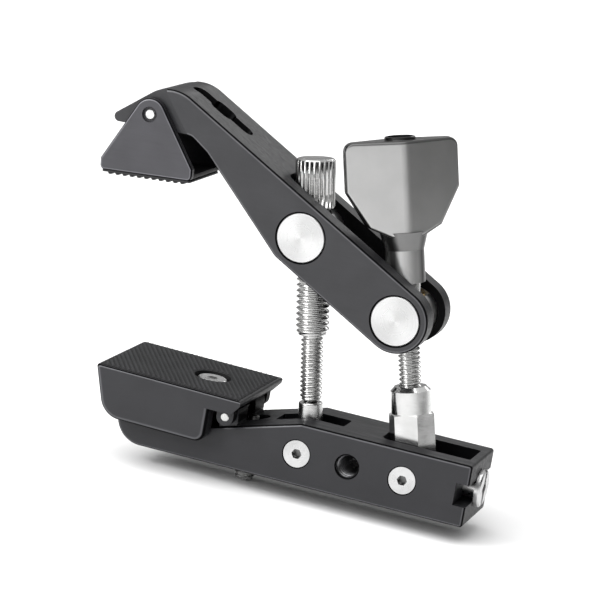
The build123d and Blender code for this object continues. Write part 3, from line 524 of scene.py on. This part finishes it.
mid_rows = (
    plain((7.6, 1.9), (12.6, 1.9))
    + threaded(12.9, 30.6, QUARTER)
    + plain((30.62, 2.6), (31.0, 3.9))
    + threaded(31.2, 64.8, COARSE)
    + plain((64.9, 3.9), (66.0, 3.9))
)
made = turned_piece(mid_rows, ROUND)
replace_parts(make_mesh("mid_screw_threaded", *made, MID, "mid_screw", STEEL, "steel"), "mid_screw")

rod_rows = (
    plain((8.4, 3.0), (22.0, 3.0))
    + threaded(22.2, 56.0, QUARTER)
    + plain((56.2, 2.9), (81.5, 2.9), (82.0, 2.5))
)
made = turned_piece(rod_rows, ROUND)
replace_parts(make_mesh("rear_rod_threaded", *made, REAR, "rear_link", STEEL, "steel"), "rear_rod")

# knurled head: straight flutes with a plain collar and a bevelled top
FLUTES, FLUTE_DEPTH, FLUTE_SHARPNESS = 24, 0.55, 1.4
POINTS_PER_FLUTE = 14
FLUTE_LOW, FLUTE_HIGH = 66.3, 78.7
KNOB_R = 5.45


def flute(angle, z):
    """Depth of the knob's flutes at a point of its side."""
    if z < FLUTE_LOW or z > FLUTE_HIGH:
        return 0.0
    return FLUTE_DEPTH * (0.5 - 0.5 * cos(FLUTES * angle)) ** FLUTE_SHARPNESS


knob_rows = plain(
    (65.5, 4.4), (65.52, 5.0), (65.9, 5.38), (66.29, 5.38), (66.31, KNOB_R), (70.0, KNOB_R),
    (74.0, KNOB_R), (78.69, KNOB_R), (78.71, 5.36), (79.05, 5.1), (79.2, 4.8), (79.2, 3.4),
    (79.12, 3.2), (79.12, 1.2),
)
made = turned_piece(knob_rows, FLUTES * POINTS_PER_FLUTE, wave=flute)
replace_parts(make_mesh("mid_knob_knurled", *made, MID, "mid_screw", STEEL, "steel"), "mid_knob")

# M6 set screw with its dog point and socket
SET = Matrix.Translation((-31.7, 0, 0))
SET_SOCKET = (1.5, 3.0)
SET_ROUND = 60
set_rows = (
    plain((-13.6, 2.35), (-13.55, 2.45))
    + threaded(-13.3, 2.9, SIX)
    + plain((3.0, 1.6), (4.3, 1.6), (4.5, 1.35))
)
made = turned_piece(set_rows, SET_ROUND, socket=SET_SOCKET)
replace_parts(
    make_mesh("pad_set_screw_threaded", *made, SET, "pad_set_screw", SET_STEEL, "steel"), "pad_set_screw"
)


# ===================== thread in the side hole =====================
HOLE_HALF, HOLE_ROOT, HOLE_DEPTH = 11.35, 3.175, 0.58
WALL_GAP = 0.01


def tapped_wall(low, high, root, pitch, depth):
    """The inside of a tapped hole as an open sleeve, seen from its axis."""
    count = round((high - low) / pitch * PER_TURN)
    points, faces = [], []
    for r in range(count + 1):
        z = low + (high - low) * r / count
        run = min(1.0, (z - low) / pitch, (high - z) / pitch)
        for i in range(ROUND):
            angle = tau * i / ROUND
            radius = root - WALL_GAP - depth * run * ridge(z / pitch - angle / tau)
            points.append((radius * cos(angle), radius * sin(angle), z))
    for r in range(count):
        for i in range(ROUND):
            j = (i + 1) % ROUND
            low_row, high_row = r * ROUND, (r + 1) * ROUND
            faces.append((low_row + j, low_row + i, high_row + i, high_row + j))
    return points, faces


ALONG_Y = Matrix(((1, 0, 0, 0), (0, 0, 1, 0), (0, -1, 0, 0), (0, 0, 0, 1)))
made = tapped_wall(-HOLE_HALF, HOLE_HALF, HOLE_ROOT, QUARTER[1], HOLE_DEPTH)
make_mesh("side_thread_ridges", *made, ALONG_Y, "lower_arm", THREAD_STEEL, "steel")

# ===================== ribs on the lower jaw's rubber =====================
PAD_FACE = 6.0
RIB_PITCH, RIB_HALF, RIB_HEIGHT = 1.32, 0.46, 0.34
RIB_CREST, RIB_RUN, RIB_END = 0.45, 0.3, 0.15
RIB_SINK = 0.05
LINE_SHORTEST, RIB_SHORTEST = 1.0, 0.6
RIB_DIRECTION = radians(-61)
FACE_X = (-36.9, 3.2)
FACE_Y = (-16.2, 16.2)
RECESS = (-10.2, 0.0, 5.6)


def clipped(px, py, dx, dy):
    """Stretches of a line, from a point and a direction, on the rubber and clear of its recess."""
    low, high = -1e9, 1e9
    for start, step, (a, b) in ((px, dx, FACE_X), (py, dy, FACE_Y)):
        one, two = (a - start) / step, (b - start) / step
        low, high = max(low, min(one, two)), min(high, max(one, two))
    if high - low < LINE_SHORTEST:
        return []
    ox, oy = px - RECESS[0], py - RECESS[1]
    along = -(ox * dx + oy * dy)
    miss = hypot(ox + along * dx, oy + along * dy)
    if miss >= RECESS[2]:
        return [(low, high)]
    half = (RECESS[2] ** 2 - miss**2) ** 0.5
    return [(a, b) for a, b in ((low, along - half), (along + half, high)) if b - a > RIB_SHORTEST]


rib_points, rib_faces = [], []
dx, dy = cos(RIB_DIRECTION), sin(RIB_DIRECTION)
for k in range(-30, 31):
    px = (FACE_X[0] + FACE_X[1]) / 2 + k * RIB_PITCH * dy
    py = -k * RIB_PITCH * dx
    for a, b in clipped(px, py, dx, dy):
        start = len(rib_points)
        for t, rise in ((a, RIB_END), (a + RIB_RUN, 1.0), (b - RIB_RUN, 1.0), (b, RIB_END)):
            for side, level in ((-1, 0), (-RIB_CREST, 1), (RIB_CREST, 1), (1, 0)):
                x = px + dx * t - dy * side * RIB_HALF
                y = py + dy * t + dx * side * RIB_HALF
                rib_points.append((x, y, PAD_FACE - RIB_SINK + level * rise * RIB_HEIGHT))
        for row in range(3):
            for col in range(3):
                c = start + row * 4 + col
                rib_faces.append((c, c + 4, c + 5, c + 1))
        rib_faces.append((start, start + 1, start + 2, start + 3))
        rib_faces.append((start + 15, start + 14, start + 13, start + 12))
make_mesh("lower_pad_ribs", rib_points, rib_faces, PAD, "lower_pad", RIB_RUBBER, "rubber", smooth=False)


# ===================== camera, floor and light =====================
camera = bpy.data.objects.new("camera", bpy.data.cameras.new("camera"))
bpy.context.collection.objects.link(camera)
camera.data.lens = 167.6
camera.data.sensor_width = 36
camera.data.clip_start = 0.05
CAMERA_AT = (0.18715, -0.7100, 0.2072)
RIGHT, UP, BACK = (0.9348, 0.3164, 0.1613), (-0.2208, 0.162, 0.9618), (0.2782, -0.9347, 0.2213)
camera.matrix_world = Matrix((*zip(RIGHT, UP, BACK, CAMERA_AT), (0, 0, 0, 1)))
bpy.context.scene.camera = camera

FLOOR_Z = CAD_BOUNDS[0].z - 0.0004
FLOOR_HALF = 6
corners = [(x * FLOOR_HALF, y * FLOOR_HALF, FLOOR_Z) for x, y in ((-1, -1), (1, -1), (1, 1), (-1, 1))]
mesh = bpy.data.meshes.new("floor")
mesh.from_pydata(corners, [], [(0, 1, 2, 3)])
floor_obj = bpy.data.objects.new("floor", mesh)
bpy.context.collection.objects.link(floor_obj)
paper = Shader("pale_floor", specular=0.2)
paper_tone = paper.noise(12, 3)
paper.tint(paper_tone, (0.88, 0.88, 0.88), (0.92, 0.92, 0.92))
paper.rough(paper_tone, 0.75, 0.85)
floor_obj.data.materials.append(paper.mat)

bpy.context.scene.view_settings.view_transform = "Standard"
# a sky that brightens upwards: (low, high) of the direction's Z, then the strengths there
SKY_HEIGHTS, SKY_STRENGTHS = (0.10, 0.75), (0.30, 0.80)
world = bpy.data.worlds.new("studio")
bpy.context.scene.world = world
world.use_nodes = True
sky = world.node_tree
direction = sky.nodes.new("ShaderNodeTexCoord").outputs["Generated"]
split = sky.nodes.new("ShaderNodeSeparateXYZ")
sky.links.new(direction, split.inputs[0])
climb = sky.nodes.new("ShaderNodeMapRange")
climb.interpolation_type = "SMOOTHSTEP"
sky.links.new(split.outputs["Z"], climb.inputs[0])
for index, number in enumerate(SKY_HEIGHTS + SKY_STRENGTHS, 1):
    climb.inputs[index].default_value = number
sky.links.new(climb.outputs[0], sky.nodes["Background"].inputs["Strength"])
sky.nodes["Background"].inputs["Color"].default_value = (1.0, 1.0, 1.0, 1)


def aimed(name, light, place, aim):
    """Place a light so that it shines at a point."""
    obj = bpy.data.objects.new(name, light)
    bpy.context.collection.objects.link(obj)
    obj.location = place
    obj.rotation_euler = (Vector(aim) - Vector(place)).to_track_quat("-Z", "Y").to_euler()


def softbox(name, place, aim, size, power):
    """A rectangular area light of a (width, height) in metres and a power in watts."""
    light = bpy.data.lights.new(name, "AREA")
    light.shape = "RECTANGLE"
    light.size, light.size_y = size
    light.energy = power
    aimed(name, light, place, aim)


sun = bpy.data.lights.new("overhead", "SUN")
sun.energy = 2.3
sun.angle = radians(60)
aimed("overhead", sun, (-0.3, -0.35, 1.0), (0, 0, 0))
softbox("left_box", (-0.65, -0.65, 0.45), (-0.02, 0, 0.04), (0.35, 0.5), 7.0)
softbox("back_box", (0.1, 0.8, 0.5), (0, 0, 0.04), (0.7, 0.12), 1.0)


def flag(name, x, y_range, z_range):
    """A black card beside the object, seen only in its reflections."""
    mesh = bpy.data.meshes.new(name)
    (low, high), (foot, top) = y_range, z_range
    mesh.from_pydata([(x, low, foot), (x, high, foot), (x, high, top), (x, low, top)], [], [(0, 1, 2, 3)])
    obj = bpy.data.objects.new(name, mesh)
    bpy.context.collection.objects.link(obj)
    obj.data.materials.append(CARD)
    obj.visible_camera = False


CARD = rubbery("card", (0.004, 0.004, 0.004), 0.9)
flag("right_card", 0.22, (-0.22, 0.06), (0.06, 0.26))
flag("left_card", -0.42, (-0.10, 0.30), (0.06, 0.26))
